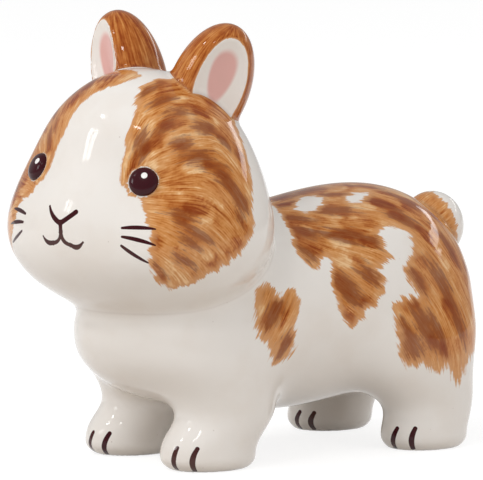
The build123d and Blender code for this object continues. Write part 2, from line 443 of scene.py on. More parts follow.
# Painted shade: the white darkens towards the creases of the narrower seams, where glaze also pools
crease_shading = share_between(glaze_group, given["Crease Shade"], 0.2, 1.0, 0.4)
sheen = share_between(glaze_group, cloud, 0.2, 1.2, 0.3)
clouded = paint_over(glaze_group, clouding, given["Color"], cloud_tint)
crease_shaded = paint_over(glaze_group, crease_shading, clouded, speck_and_shade_tint)
glaze_group.links.new(paint_over(glaze_group, speck, crease_shaded, speck_and_shade_tint), result["Color"])
glaze_group.links.new(sheen, result["Roughness"])
glaze_group.links.new(reckon(glaze_group, "MULTIPLY", ripple, ripple_height), result["Height"])

glaze_white = (0.86, 0.825, 0.785, 1)


def new_glaze(name):
    """Material of glazed clay, its tree and its shader, with the place in millimetres."""
    material = bpy.data.materials.new(name)
    material.use_nodes = True
    tree = material.node_tree
    shader = tree.nodes["Principled BSDF"]
    shader.inputs["Specular IOR Level"].default_value = 0.27
    metres = put(tree, "TexCoord", {}).outputs["Object"]
    place = reckon_place(tree, "MULTIPLY", metres, (1 / MM,) * 3)
    return material, tree, shader, place


def glaze_over(tree, shader, place, colour):
    """Clear glaze over the painted clay, with its ripple and painted shade in the creases."""
    crease_shade = put(tree, "Attribute", {}, attribute_name="crease_shade").outputs["Fac"]
    under = {"Place": place, "Color": colour, "Crease Shade": crease_shade}
    glaze = put(tree, "Group", under, node_tree=glaze_group).outputs
    ripple = put(tree, "Bump", {"Height": glaze["Height"], "Distance": MM}).outputs["Normal"]
    tree.links.new(glaze["Color"], shader.inputs["Base Color"])
    tree.links.new(glaze["Roughness"], shader.inputs["Roughness"])
    tree.links.new(ripple, shader.inputs["Normal"])


def coat_colour(tree, place, raggedness=1.0, fineness=1.0, tone=None):
    """White body with the brushed coat on it, and the third of the brush's depths."""
    depths = put(tree, "Attribute", {}, attribute_name="depths").outputs["Vector"]
    depths = put(tree, "SeparateXYZ", {0: depths}).outputs
    strokes = {
        "Place": place,
        "Fur": put(tree, "Attribute", {}, attribute_name="fur").outputs["Vector"],
        "Out": put(tree, "NewGeometry", {}).outputs["Normal"],
        "Coat Depth": depths[0],
        "Dab Depth": depths[1],
        "Raggedness": raggedness,
        "Fineness": fineness,
        "Tone": depths[2] if tone is None else tone,
    }
    fur = put(tree, "Group", strokes, node_tree=fur_group).outputs
    return paint_over(tree, fur["Mask"], glaze_white, fur["Color"]), depths[2]


trunk_glaze, tree, shader, place = new_glaze("trunk_glaze")
colour, _ = coat_colour(tree, place)
glaze_over(tree, shader, place, colour)
# Each piece's form, the brush that gives its coat, and its glaze
CLAY = {"trunk": (trunk_form, trunk_brush, trunk_glaze)}
# Width of the slip that joins each piece to those before it
SLIP = {}

# Legs
# Four short stubs with rounded paws, cast solid, the hind pair swelling into full haunches.
# Their soles are wiped flat, and two brush lines on each paw stand for its claws.

LEGS = {
    "foreleg": {
        "height": 54.0, "place": (20.2, -39.0), "half_width": 12.6, "half_length": 15.8,
        # (height share, outward share, rearward share, half-width share, half-length share)
        "shares": [
            (0.00, 0.00, 0.03, 0.82, 0.82),
            (0.03, 0.00, 0.01, 0.94, 0.94),
            (0.09, 0.00, 0.00, 1.00, 1.00),
            (0.17, 0.00, 0.11, 1.00, 1.02),
            (0.28, 0.01, 0.38, 1.02, 1.00),
            (0.37, 0.02, 0.41, 1.04, 1.01),
            (0.47, 0.02, 0.34, 1.07, 1.07),
            (0.60, 0.00, 0.22, 1.07, 1.16),
            (0.74, -0.05, 0.14, 0.98, 1.06),
            (0.88, -0.15, 0.14, 0.74, 0.80),
            (1.00, -0.15, 0.14, 0.05, 0.05),
        ],
    },
    "hindleg": {
        "height": 62.0, "place": (24.8, 41.0), "half_width": 12.0, "half_length": 14.4,
        "shares": [
            (0.00, 0.00, 0.00, 0.82, 0.83),
            (0.026, 0.00, 0.00, 0.94, 0.94),
            (0.08, 0.00, 0.00, 1.00, 1.00),
            (0.15, -0.02, 0.08, 0.97, 1.02),
            (0.23, -0.05, 0.10, 0.98, 1.10),
            (0.33, -0.10, -0.10, 1.09, 1.34),
            (0.46, -0.15, -0.31, 1.20, 1.59),
            (0.61, -0.20, -0.36, 1.18, 1.60),
            (0.77, -0.32, -0.42, 1.00, 1.36),
            (0.90, -0.45, -0.46, 0.66, 0.92),
            (1.00, -0.45, -0.46, 0.05, 0.05),
        ],
    },
}
leg_slip = {"foreleg": 11.0, "hindleg": 12.0}
leg_ease = 0.9
# Least share of a leg's half sizes, and the share of its height at which it ends in the trunk
thinnest_share = 0.05
dome_share = 0.97
for leg in LEGS.values():
    leg["profile"] = smooth_columns(leg["shares"])


def leg_form(p, kind, side_name):
    """Distance from one leg, from its sole to a dome inside the trunk."""
    leg, side = LEGS[kind], SIDES[side_name]
    height, (place_x, place_y) = leg["height"], leg["place"]
    rise = np.clip(p[:, 2] / height, 0, 1)
    outward, rearward, width, length = leg["profile"](rise)
    half_x = np.maximum(width, thinnest_share) * leg["half_width"]
    half_y = np.maximum(length, thinnest_share) * leg["half_length"]
    x = p[:, 0] - side * (place_x + outward * leg["half_width"])
    y = p[:, 1] - place_y - rearward * leg["half_length"]
    reach = np.sqrt((x / half_x) ** 2 + (y / half_y) ** 2)
    around = (reach - 1) * np.minimum(np.minimum(half_x, half_y), leg["half_width"])
    return np.maximum(around, p[:, 2] - height * dome_share) * leg_ease


# Two lines on each paw: the top, middle and foot of each, in millimetres
claws = {
    "left_foreleg": [((24.1, -53.4, 7.7), (23.5, -54.2, 4.4), (22.8, -52.7, 1.0)),
                     ((29.2, -49.4, 7.7), (28.5, -50.7, 4.2), (27.6, -49.2, 0.7))],
    "right_foreleg": [((-19.9, -54.3, 7.2), (-21.0, -54.8, 4.1), (-21.4, -53.3, 0.9)),
                      ((-14.0, -52.2, 7.4), (-15.0, -53.4, 4.3), (-16.2, -51.8, 0.7))],
    "left_hindleg": [((28.6, 27.3, 7.2), (27.4, 26.9, 3.9), (26.6, 28.4, 0.8)),
                     ((33.3, 31.1, 7.4), (32.7, 30.2, 4.3), (32.0, 31.3, 0.9))],
    "right_hindleg": [((-22.2, 27.0, 6.2), (-23.4, 27.1, 3.6), (-23.4, 28.3, 0.8)),
                      ((-17.7, 29.4, 6.2), (-18.7, 28.9, 3.6), (-18.7, 30.1, 0.8))],
}
claw_widths = (1.5, 1.9, 1.6)


def on_leg(point, kind, side_name):
    """A point drawn onto the outside of a leg."""
    p = np.array([point])
    for _ in range(8):
        slope = slope_of(lambda at: leg_form(at, kind, side_name), p)
        p = p - slope * leg_form(p, kind, side_name) / (slope ** 2).sum()
    return p[0]


line_group, given, result = new_group(
    "brush_line",
    {"Place": "Vector", "Start": "Vector", "End": "Vector", "Bow": "Vector",
     "Start Width": "Float", "Middle Width": "Float", "End Width": "Float"},
    {"Mask": "Float"},
)
run = reckon_place(line_group, "SUBTRACT", given["End"], given["Start"])
off = reckon_place(line_group, "SUBTRACT", given["Place"], given["Start"])
share = reckon(
    line_group, "DIVIDE",
    reckon_place(line_group, "DOT_PRODUCT", off, run), reckon_place(line_group, "DOT_PRODUCT", run, run),
)
share = put(line_group, "Clamp", {0: share}).outputs[0]
arch = reckon(line_group, "MULTIPLY", share, reckon(line_group, "MULTIPLY_ADD", share, -4.0, 4.0))
bowed = reckon_place(line_group, "MULTIPLY", given["Bow"], arch)
nearest = reckon_place(line_group, "MULTIPLY_ADD", run, share, bowed)
ends = put(line_group, "Mix", {0: share, 2: given["Start Width"], 3: given["End Width"]}).outputs[0]
both = reckon(line_group, "ADD", given["Start Width"], given["End Width"])
swell = reckon(line_group, "MULTIPLY_ADD", both, -0.5, given["Middle Width"])
width = reckon(line_group, "MULTIPLY_ADD", swell, arch, ends)
inside = reckon(line_group, "MULTIPLY", width, 0.5)
inside = reckon(line_group, "SUBTRACT", inside, reckon_place(line_group, "DISTANCE", off, nearest))
line_edge = (-0.06, 0.08)
line_group.links.new(share_between(line_group, inside, *line_edge), result["Mask"])

trunk_low, trunk_high = (np.array(corner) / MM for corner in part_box("trunk"))
# Where the middle of the rabbit's own frame stands in the shared one
stand = np.array([(trunk_low[0] + trunk_high[0]) / 2, trunk_low[1] - trunk_middle_y + trunk_length / 2, 0])
line_brown = chip("3A0610")


def draw_lines(tree, place, colour, lines):
    """Brush lines over a colour, each from its three places and three widths."""
    marks = 0.0
    for start, middle, end, widths in lines:
        stroke = {"Place": place, "Start": start + stand, "End": end + stand}
        stroke["Bow"] = middle - (start + end) / 2
        stroke |= zip(("Start Width", "Middle Width", "End Width"), widths)
        line = put(tree, "Group", stroke, node_tree=line_group)
        marks = reckon(tree, "MAXIMUM", marks, line.outputs["Mask"])
    return paint_over(tree, marks, colour, line_brown)


for name, lines in claws.items():
    side_name, kind = name.split("_")
    leg_glaze, tree, shader, place = new_glaze(name + "_glaze")
    colour, _ = coat_colour(tree, place)
    lines = [(*(on_leg(point, kind, side_name) for point in line), claw_widths) for line in lines]
    glaze_over(tree, shader, place, draw_lines(tree, place, colour, lines))
    CLAY[name] = (
        lambda p, kind=kind, side_name=side_name: leg_form(p, kind, side_name), trunk_brush, leg_glaze,
    )
    SLIP[name] = leg_slip[kind]

# Head
# Wide cheeks under a narrow crown, cast hollow and set on the neck a little turned to the
# rabbit's left. A white blaze parts its coat; nose, mouth and whiskers are single brush lines.

head_height = 76.5
crown_above_pivot = 48.5
cheek_half_width = 49.5
face_depth = 39.8
nape_depth = 42.0
neck_pivot = np.array([0.0, -50.5, 73.95])
head_turn = 14.5
head_tilt = 2.0
# (angle from crown to chin, half-width share, face share, nape share)
head_shares = [
    (0, 0.71, 0.80, 0.81),
    (14, 0.71, 0.80, 0.81),
    (34, 0.71, 0.79, 0.84),
    (54, 0.735, 0.75, 0.86),
    (74, 0.79, 0.69, 0.845),
    (92, 0.86, 0.81, 0.875),
    (108, 0.94, 0.94, 0.94),
    (126, 1.01, 1.03, 1.00),
    (146, 1.06, 1.04, 1.05),
    (166, 1.08, 1.05, 1.08),
    (180, 1.08, 1.05, 1.08),
]
muzzle_reach = 3.6
muzzle_half_width = 14.0
muzzle_half_height = 14.0
muzzle_above_pivot = 14.0

turn_cos, turn_sin = math.cos(math.radians(head_turn)), math.sin(math.radians(head_turn))
tilt_cos, tilt_sin = math.cos(math.radians(head_tilt)), math.sin(math.radians(head_tilt))
# Rows: the head's own X, Y and Z axes in the rabbit's frame
head_axes = np.array([
    [turn_cos * tilt_cos, turn_sin * tilt_cos, -tilt_sin],
    [-turn_sin, turn_cos, 0.0],
    [turn_cos * tilt_sin, turn_sin * tilt_sin, tilt_cos],
])
head_profile = smooth_columns(head_shares)
head_ease = 0.92


def in_head(p):
    """Points in the head's own frame, from the rabbit's."""
    return (p - neck_pivot) @ head_axes.T


def head_form(p):
    """Distance from the outside of the head."""
    q = in_head(p)
    half = head_height / 2
    middle = crown_above_pivot - half
    level = np.clip((q[:, 2] - middle) / half, -1, 1)
    swell = np.sqrt(np.maximum(1 - level ** 2, 1e-6))
    width, face, nape = head_profile(np.degrees(np.arccos(level)))
    width = width * cheek_half_width
    depth = np.where(q[:, 1] < 0, face * face_depth, nape * nape_depth)
    forward = np.clip(-q[:, 1] / (depth * swell), 0, 1)
    up = (q[:, 2] - muzzle_above_pivot) / muzzle_half_height
    muzzle = muzzle_reach * np.exp(-(q[:, 0] / muzzle_half_width) ** 2 - up ** 2)
    back = (q[:, 1] + muzzle * forward) / depth
    reach = np.sqrt((q[:, 0] / width) ** 2 + back ** 2 + ((q[:, 2] - middle) / half) ** 2)
    return (reach - 1) * np.minimum(width, depth) * head_ease


head_coat = {
    "seed": 7,
    "middle": np.array([0.0, 0.0, 9.0]),
    "reach": 40.0,
    "fur": [
        (-49, 41, 45), (-27, 61, -2), (-8, 66, -10), (-14, 32, -8), (-27, 23, 4), (-17, 23, -12),
        (-30, 8, -24), (-44, 5, -38), (-7, 10, -67), (-2, -2, -69), (11, 15, -87), (8, 25, -77),
        (10, 37, -66), (4, 50, -42), (-38, -8, -43), (-31, -20, -26), (-20, -13, -45),
        (-42, -21, -26), (-7, -13, -53), (-55, 25, 57), (-12, 17, -39), (-43, 52, 29),
    ],
    "patches": {
        "left": [[
            (-30, 68), (-24, 73), (-10, 76), (6, 70), (18, 58), (25, 44), (19, 30), (13, 20),
            (10, 11), (8, 7), (4, 0), (3, -7), (-1, -12), (-6, -18), (-11, -20), (-17, -25),
            (-21, -29), (-29, -35), (-37, -32), (-43, -24), (-44, -16), (-44, -8), (-48, 1),
            (-49, 7), (-56, 10), (-59, 19), (-58, 28), (-55, 36), (-48, 47), (-39, 58),
        ]],
        "right": [[
            (-17, 96), (-24, 93), (-31, 89), (-36, 81), (-40, 72), (-45, 64), (-50, 56), (-55, 44),
            (-57, 31), (-60, 22), (-61, 13), (-57, 8), (-55, 1), (-48, -3), (-47, -10), (-44, -20),
            (-36, -29), (-28, -31), (-20, -22), (-12, -22), (-5, -15), (2, -12), (3, -2), (9, 6),
            (10, 16), (16, 24), (21, 36), (22, 50), (10, 66), (-4, 80), (-10, 90),
        ]],
    },
    "bare": {},
    "dabs": [
        (-23, 69, 5.5, 1.8), (-20, 60, 4.5, 1.7), (-15, 52, 5.0, 1.6), (-28, 45, 4.5, 1.8),
        (-7, 41, 4.5, 2.4), (-42, 43, 3.8, 1.8), (-43, 36, 4.5, 2.2), (-23, 34, 4.0, 2.6),
        (-16, 27, 5.0, 2.4), (-14, 22, 5.4, 1.6), (8, 25, 4.2, 2.0), (2, 32, 3.6, 2.0),
        (-6, 12, 8.0, 2.6), (-2, 5, 5.0, 2.6), (-30, 1, 5.0, 1.8), (-29, -3, 4.6, 2.4),
        (-25, -8, 5.8, 2.4), (-27, -12, 4.6, 1.8), (-29, -19, 4.6, 1.7), (-5, -2, 3.2, 1.6),
        (-37, -26, 4.0, 1.4),
    ],
}


def on_face(x, z):
    """Point of the head's surface straight behind a place on the face, seen from in front."""
    far, near = -2 * face_depth, 0.0
    for _ in range(40):
        middle = (far + near) / 2
        point = np.array([x, middle, z]) @ head_axes + neck_pivot
        far, near = (far, middle) if head_form(point[None])[0] < 0 else (middle, near)
    return point


# The coat stops just short of the eyes, so their place and radius come here
eye_radius = 4.6
eye_place = (21.2, 17.8)
eye_ring = 0.1
eye_ring_deepens = 4.0


def head_brush(points, normals):
    """The coat on both cheeks with the blaze between them, and a thin pale ring at each eye."""
    ways, depths = brushed_coat(points, normals, head_coat, head_axes, neck_pivot, head_form)
    for side in SIDES.values():
        off = np.linalg.norm(points - on_face(side * eye_place[0], eye_place[1]), axis=1)
        depths[:, 0] = np.minimum(depths[:, 0], (off - eye_radius - eye_ring) * eye_ring_deepens)
    return ways, depths


# (start, middle and end in the head's own X and Z, and the widths there), in millimetres
face_lines = [
    ((-0.6, 3.9), (-3.9, 5.6), (-6.5, 8.3), (1.7, 1.6, 0.9)),
    ((-0.6, 3.9), (2.0, 5.7), (4.6, 7.8), (1.7, 1.6, 1.6)),
    ((-0.6, 4.1), (-0.3, 2.7), (-0.1, 1.2), (1.9, 1.5, 1.7)),
    ((-0.1, 1.5), (-1.2, -1.6), (-3.3, -2.4), (1.7, 1.6, 1.7)),
    ((-3.3, -2.4), (-6.0, -2.4), (-7.9, -0.9), (1.7, 1.5, 0.6)),
    ((0.0, 1.5), (1.2, -1.3), (3.8, -2.3), (1.7, 1.4, 1.6)),
    ((3.8, -2.3), (6.3, -2.7), (8.1, -1.1), (1.6, 1.6, 0.8)),
]
# (start, middle and end) on the left cheek, in the same way
whiskers = [
    ((19.5, 4.2), (24.0, 4.6), (28.5, 4.4)),
    ((20.0, 1.6), (24.8, 0.9), (29.2, -0.4)),
    ((20.1, -1.1), (23.6, -3.5), (27.4, -5.9)),
]
whisker_widths = (0.8, 1.3, 0.5)
for side in SIDES.values():
    for places in whiskers:
        face_lines.append((*((side * x, z) for x, z in places), whisker_widths))

head_glaze, tree, shader, place = new_glaze("head_glaze")
colour, _ = coat_colour(tree, place)
lines = [(*(on_face(*spot) for spot in spots), widths) for *spots, widths in face_lines]
glaze_over(tree, shader, place, draw_lines(tree, place, colour, lines))
CLAY["head"] = (head_form, head_brush, head_glaze)
SLIP["head"] = 6.0

# Ears
# Thick egg-shaped petals pressed from solid clay, each with a scooped white face that turns
# outward and a blush of pink in its middle. They are luted on the crown with slip.

ear_half_sizes = np.array([12.6, 11.4, 22.0])
ear_tip = np.array([24.6, 13.6, 63.2])
ear_splay = 23.0
ear_lean_back = 3.5
ear_turn = {"left": 58.0, "right": 20.0}
scoop_half_sizes = np.array([9.6, 5.0, 24.0])
scoop_depth = 4.0
scoop_lift = -1.0
scoop_slope = 14.0
scoop_lip = 1.6


def egg_form(p, half_sizes):
    """Distance from an egg with three half sizes about its middle."""
    outer = np.linalg.norm(p / half_sizes, axis=1)
    slope = np.linalg.norm(p / half_sizes ** 2, axis=1)
    return outer * (outer - 1) / np.maximum(slope, 1e-9)


def join(a, b, width):
    """Two forms as one, with slip that fills the corner between them to this width."""
    near = np.maximum(width - np.abs(a - b), 0) / width
    return np.minimum(a, b) - near ** 3 * width / 6


def ear_frame(side_name):
    """An ear's middle and axes in the head's frame: X across, Y out of its back, Z to its tip."""
    side = SIDES[side_name]
    splay, lean = math.tan(math.radians(ear_splay)), math.tan(math.radians(ear_lean_back))
    upward = np.array([side * splay, lean, 1.0])
    upward /= np.linalg.norm(upward)
    turn = math.radians(ear_turn[side_name])
    across = np.cross(upward, [side * math.sin(turn), -math.cos(turn), 0.0])
    across /= np.linalg.norm(across)
    middle = ear_tip * [side, 1, 1] - upward * ear_half_sizes[2]
    return middle, np.array([across, np.cross(upward, across), upward])


def in_ear(p, side_name):
    """Points in an ear's own frame."""
    middle, axes = ear_frame(side_name)
    return (in_head(p) - middle) @ axes.T


def scoop_place(q):
    """Distance from the egg that is scooped out of an ear, for points in the ear's frame."""
    out = ear_half_sizes[1] - scoop_depth + scoop_half_sizes[1]
    s = q - [0, -out, scoop_lift]
    slope_cos, slope_sin = math.cos(math.radians(scoop_slope)), math.sin(math.radians(scoop_slope))
    y = s[:, 1] * slope_cos - s[:, 2] * slope_sin
    z = s[:, 1] * slope_sin + s[:, 2] * slope_cos
    return egg_form(np.stack([s[:, 0], y, z], -1), scoop_half_sizes)


def ear_form(p, side_name):
    """Distance from one ear, its face scooped out with a rounded lip."""
    q = in_ear(p, side_name)
    return -join(-egg_form(q, ear_half_sizes), scoop_place(q), scoop_lip)


blush_half_sizes = np.array([4.3, 9.0])
blush_lift = 7.0
blush_taper = 0.25
blush_edge = (-0.3, 1.0)
blush_strength = 0.85
# How much faster than its own depth the coat thickens behind the lip
coat_deepens = 4.0


def ear_brush(points, normals, side_name):
    """Fur from the tip to the root, the coat up to the lip, and the blush on the face."""
    q = in_ear(points, side_name)
    downward = -ear_frame(side_name)[1][2] @ head_axes
    back_of_lip = (scoop_place(q) + egg_form(q, ear_half_sizes)) * coat_deepens
    down = (blush_lift - q[:, 2]) / blush_half_sizes[1]
    blush = 1 - np.hypot(q[:, 0] / blush_half_sizes[0] * (1 + blush_taper * down), down)
    blush = np.where(q[:, 1] < 0, blush * blush_half_sizes[0], nowhere)
    return laid_along(normals, downward), np.stack([back_of_lip, np.full(len(q), nowhere), blush], -1)


ear_glaze, tree, shader, place = new_glaze("ear_glaze")
colour, blush = coat_colour(tree, place, raggedness=0.4, fineness=0.7, tone=-0.33)
pink = share_between(tree, blush, *blush_edge, blush_strength)
glaze_over(tree, shader, place, paint_over(tree, pink, colour, chip("E0A59E")))
for side_name in SIDES:
    CLAY[side_name + "_ear"] = (
        lambda p, side_name=side_name: ear_form(p, side_name),
        lambda p, normals, side_name=side_name: ear_brush(p, normals, side_name),
        ear_glaze,
    )
    SLIP[side_name + "_ear"] = 3.0

# Tail
# A round bob of clay pressed on the rump, brown in front and white round its rim.

tail_half_sizes = np.array([10.6, 9.6, 10.8])
tail_middle = np.array([0.0, 63.0, 66.0])
# How far behind the bob's middle its white starts, and its darker root ends
tail_white_from = 1.8
tail_dark_before = -5.0
white_slope = 0.25
dark_slope = 0.5
tail_fur = np.array([0.0, 1.0, 0.6])


def tail_form(p):
    """Distance from the bob of the tail."""
    return egg_form(p - tail_middle, tail_half_sizes)


def tail_brush(points, normals):
    """Fur that sweeps back over the bob, and the coat on its front, darker at the root."""
    off = points - tail_middle
    depth = tail_white_from - off[:, 1] - off[:, 2] * white_slope
    dark = tail_dark_before - off[:, 1] - off[:, 2] * dark_slope
    return laid_along(normals, tail_fur), np.stack([depth, dark, np.zeros(len(points))], -1)


tail_glaze, tree, shader, place = new_glaze("tail_glaze")
colour, _ = coat_colour(tree, place)
glaze_over(tree, shader, place, colour)
CLAY["tail"] = (tail_form, tail_brush, tail_glaze)
SLIP["tail"] = 2.5

# Luting
# The pieces are joined leather-hard with slip, which a wet brush draws into soft fillets.
# One skin is made over all of them, then parted where one piece's clay meets the next.

sole_edge = 1.0
skin_step = 1.1
# The net's corners, set off the figure's own planes so that no crossing falls on a knot
skin_low = np.array([-46.03, -91.07, -1.37])
skin_high = np.array([46.0, 75.0, 140.0])
coarse = 4
near_skin = coarse * skin_step * 1.3
# Glaze pooling and painted shade darken the white this far from a crease, at the seams whose slip is
# narrower than the second value
crease_shade_reach = 2.0
widest_shaded_slip = 8.0


def clay_forms(p):
    """Every piece's own distance, one row per piece."""
    return np.array([form(p) for form, _, _ in CLAY.values()])


def figure_form(p):
    """Distance from the luted figure, cut flat at the table."""
    forms = dict(zip(CLAY, clay_forms(p)))
    whole = forms["trunk"]
    for name, width in SLIP.items():
        whole = join(whole, forms[name], width)
    return -join(-whole, p[:, 2], sole_edge)


def skin_net():
    """Vertices and four-sided faces of a net over the figure."""
    counts = np.ceil((skin_high - skin_low) / skin_step).astype(int)
    counts = (counts // coarse + 1) * coarse
    axes = [skin_low[i] + skin_step * np.arange(counts[i]) for i in range(3)]
    lattice = np.stack(np.meshgrid(*axes, indexing="ij"), -1)
    middles = lattice[coarse // 2::coarse, coarse // 2::coarse, coarse // 2::coarse]
    rough = figure_form(middles.reshape(-1, 3)).reshape(middles.shape[:3])
    for axis in range(3):
        rough = np.repeat(rough, coarse, axis)
    values = rough.copy()
    near = np.abs(rough) < near_skin
    values[near] = figure_form(lattice[near])
    inside = values < 0
    starts = np.zeros(tuple(counts - 1) + (3,))
    hits = np.zeros(tuple(counts - 1))
    faces = []
    for axis in range(3):
        other = [a for a in range(3) if a != axis]
        low, high = [slice(None)] * 3, [slice(None)] * 3
        low[axis], high[axis] = slice(None, -1), slice(1, None)
        a, b = values[tuple(low)], values[tuple(high)]
        crossed = (a < 0) != (b < 0)
        share = np.where(crossed, a / np.where(crossed, a - b, 1), 0)
        for first in (0, 1):
            for second in (0, 1):
                window = [slice(None, -1)] * 3
                window[axis] = slice(None)
                for place, offset in zip(other, (first, second)):
                    window[place] = slice(offset, offset - 1 or None)
                found, part = crossed[tuple(window)], share[tuple(window)]
                hits += found
                for place, offset in zip(other, (first, second)):
                    starts[..., place] += found * offset
                starts[..., axis] += found * part
        i = np.argwhere(crossed)
        i = i[(i[:, other[0]] > 0) & (i[:, other[1]] > 0)]
        corners = []
        for first, second in ((0, 0), (1, 0), (1, 1), (0, 1)):
            cell = i.copy()
            cell[:, other[0]] -= first
            cell[:, other[1]] -= second
            corners.append(cell)
        outward = inside[tuple(i.T)] != (axis == 1)
        quad = np.stack(corners, 1)
        quad[~outward] = quad[~outward][:, ::-1]
        faces.append(quad)
    used = hits > 0
    number = np.full(hits.shape, -1)
    number[used] = np.arange(used.sum())
    cells = np.argwhere(used)
    points = skin_low + skin_step * (cells + starts[used] / hits[used][:, None])
    faces = np.concatenate(faces)
    return points, number[faces[..., 0], faces[..., 1], faces[..., 2]]


def settle(points, faces, held=None, rounds=6):
    """Even out a net and bring each vertex onto the figure."""
    ends = np.concatenate([faces[:, [i, (i + 1) % 4]] for i in range(4)])
    count = np.bincount(ends[:, 0], minlength=len(points))[:, None]
    for left in reversed(range(rounds + 2)):
        slope = slope_of(figure_form, points)
        size = (slope ** 2).sum(1)[:, None]
        step = -slope * figure_form(points)[:, None] / size
        if left > 1:
            sums = [np.bincount(ends[:, 0], points[ends[:, 1], i]) for i in range(3)]
            pull = (np.stack(sums, -1) / count - points) / 2
            step += pull - slope * (pull * slope).sum(1)[:, None] / size
        if held is not None:
            step[held] = 0
        points = points + step
    return points


def seam_places(points, faces, piece_of_face):
    """Vertices between two pieces, drawn onto the line where the two clays meet."""
    lowest = np.full(len(points), len(CLAY))
    highest = np.full(len(points), -1)
    for corner in range(4):
        np.minimum.at(lowest, faces[:, corner], piece_of_face)
        np.maximum.at(highest, faces[:, corner], piece_of_face)
    seam = np.flatnonzero(lowest != highest)
    first, second = lowest[seam], highest[seam]
    rows = np.arange(len(seam))

    def meeting(p):
        forms = clay_forms(p)
        return forms[first, rows] - forms[second, rows]

    for _ in range(4):
        p = points[seam]
        slopes = np.stack([slope_of(figure_form, p), slope_of(meeting, p)], 1)
        off = np.stack([figure_form(p), meeting(p)], 1)
        grip = slopes @ slopes.transpose(0, 2, 1) + np.eye(2) * 1e-4
        step = (slopes.transpose(0, 2, 1) @ np.linalg.solve(grip, off[..., None]))[..., 0]
        size = np.linalg.norm(step, axis=1)[:, None]
        points[seam] = p - step * np.minimum(1, skin_step / np.maximum(size, 1e-9))
    return points, seam


skin_points, skin_faces = skin_net()
skin_points = settle(skin_points, skin_faces)
face_middles = skin_points[skin_faces].mean(1)
piece_of_face = clay_forms(face_middles).argmin(0)
skin_points, seam = seam_places(skin_points, skin_faces, piece_of_face)
skin_points = settle(skin_points, skin_faces, held=seam, rounds=4)
skin_slopes = slope_of(figure_form, skin_points)
skin_normals = skin_slopes / np.linalg.norm(skin_slopes, axis=1)[:, None]


def open_edges(faces):
    """Closed rings of the edges that only one face has, each in its faces' order."""
    starts = faces.ravel()
    stops = np.roll(faces, -1, axis=1).ravel()
    pairs = set(zip(starts.tolist(), stops.tolist()))
    onward = {a: b for a, b in pairs if (b, a) not in pairs}
    rings = []
    while onward:
        first, at = onward.popitem()
        ring = [first]
        while at != first:
            ring.append(at)
            at = onward.pop(at)
        rings.append(ring)
    return rings


def clay_piece(name):
    """One cast piece as a closed mesh: its share of the skin, and a cap behind each seam."""
    faces = skin_faces[piece_of_face == list(CLAY).index(name)]
    used, faces = np.unique(faces, return_inverse=True)
    faces = faces.reshape(-1, 4)
    points, normals = skin_points[used], skin_normals[used]
    _, brush, glaze = CLAY[name]
    strokes = np.hstack(brush(points, normals))
    caps = []
    for ring in open_edges(faces):
        middle = len(points)
        points = np.vstack([points, points[ring].mean(0)])
        strokes = np.vstack([strokes, strokes[ring[0]]])
        caps += [(b, a, middle) for a, b in zip(ring, ring[1:] + ring[:1])]
    mesh = bpy.data.meshes.new(name + "_clay")
    mesh.from_pydata(((points + stand) * MM).tolist(), [], faces.tolist() + caps)
    mesh.validate()
    smooth = np.zeros(len(mesh.polygons), bool)
    smooth[:len(faces)] = True
    mesh.polygons.foreach_set("use_smooth", smooth)
    corner_normals = np.zeros((len(mesh.loops), 3))
    corner_normals[:faces.size] = normals[faces.ravel()]
    mesh.update()
    for polygon in mesh.polygons[len(faces):]:
        corner_normals[list(polygon.loop_indices)] = polygon.normal
    mesh.normals_split_custom_set(corner_normals.tolist())
    # Painted shade in the creases: how near each point lies to a second piece's clay, at the narrower seams
    creased = [form(points) for other, (form, _, _) in CLAY.items() if SLIP.get(other, 0) < widest_shaded_slip]
    second = np.sort(creased, axis=0)[1]
    crease_shade = mesh.attributes.new("crease_shade", "FLOAT", "POINT")
    crease_shade.data.foreach_set("value", np.clip(1 - second / crease_shade_reach, 0, 1).astype(np.float32))
    for attribute, columns in (("fur", strokes[:, :3]), ("depths", strokes[:, 3:])):
        layer = mesh.attributes.new(attribute, "FLOAT_VECTOR", "POINT")
        layer.data.foreach_set("vector", columns.astype(np.float32).ravel())
    mesh.materials.append(glaze)
    piece = bpy.data.objects.new(name + "_clay", mesh)
    bpy.context.collection.objects.link(piece)
    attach(piece, "root")
    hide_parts(name)


for name in CLAY:
    clay_piece(name)

# Eyes
# Low domes of dark glaze, dropped on the face before the firing, each with a white dot near
# its top: a painted highlight.

eye_rise = 2.2
# Painted highlight: a white dot on each dome, its radius, edge, place and rise
highlight_radius = 1.0
highlight_edge = 0.06
highlight_above_middle = 1.4
highlight_rise_share = 0.85
highlight_inward = {"left": 0.5, "right": 1.7}
# (share of the radius, share of the rise) from the foot of the dome to its top
eye_shares = [
    (1.00, -0.70), (1.00, -0.10), (0.97, 0.28), (0.90, 0.52),
    (0.78, 0.72), (0.60, 0.87), (0.40, 0.95), (0.20, 0.99),
]
eye_steps = 64
aubergine = chip("3A0A14")
painted_highlight_white = (0.9, 0.88, 0.86, 1)

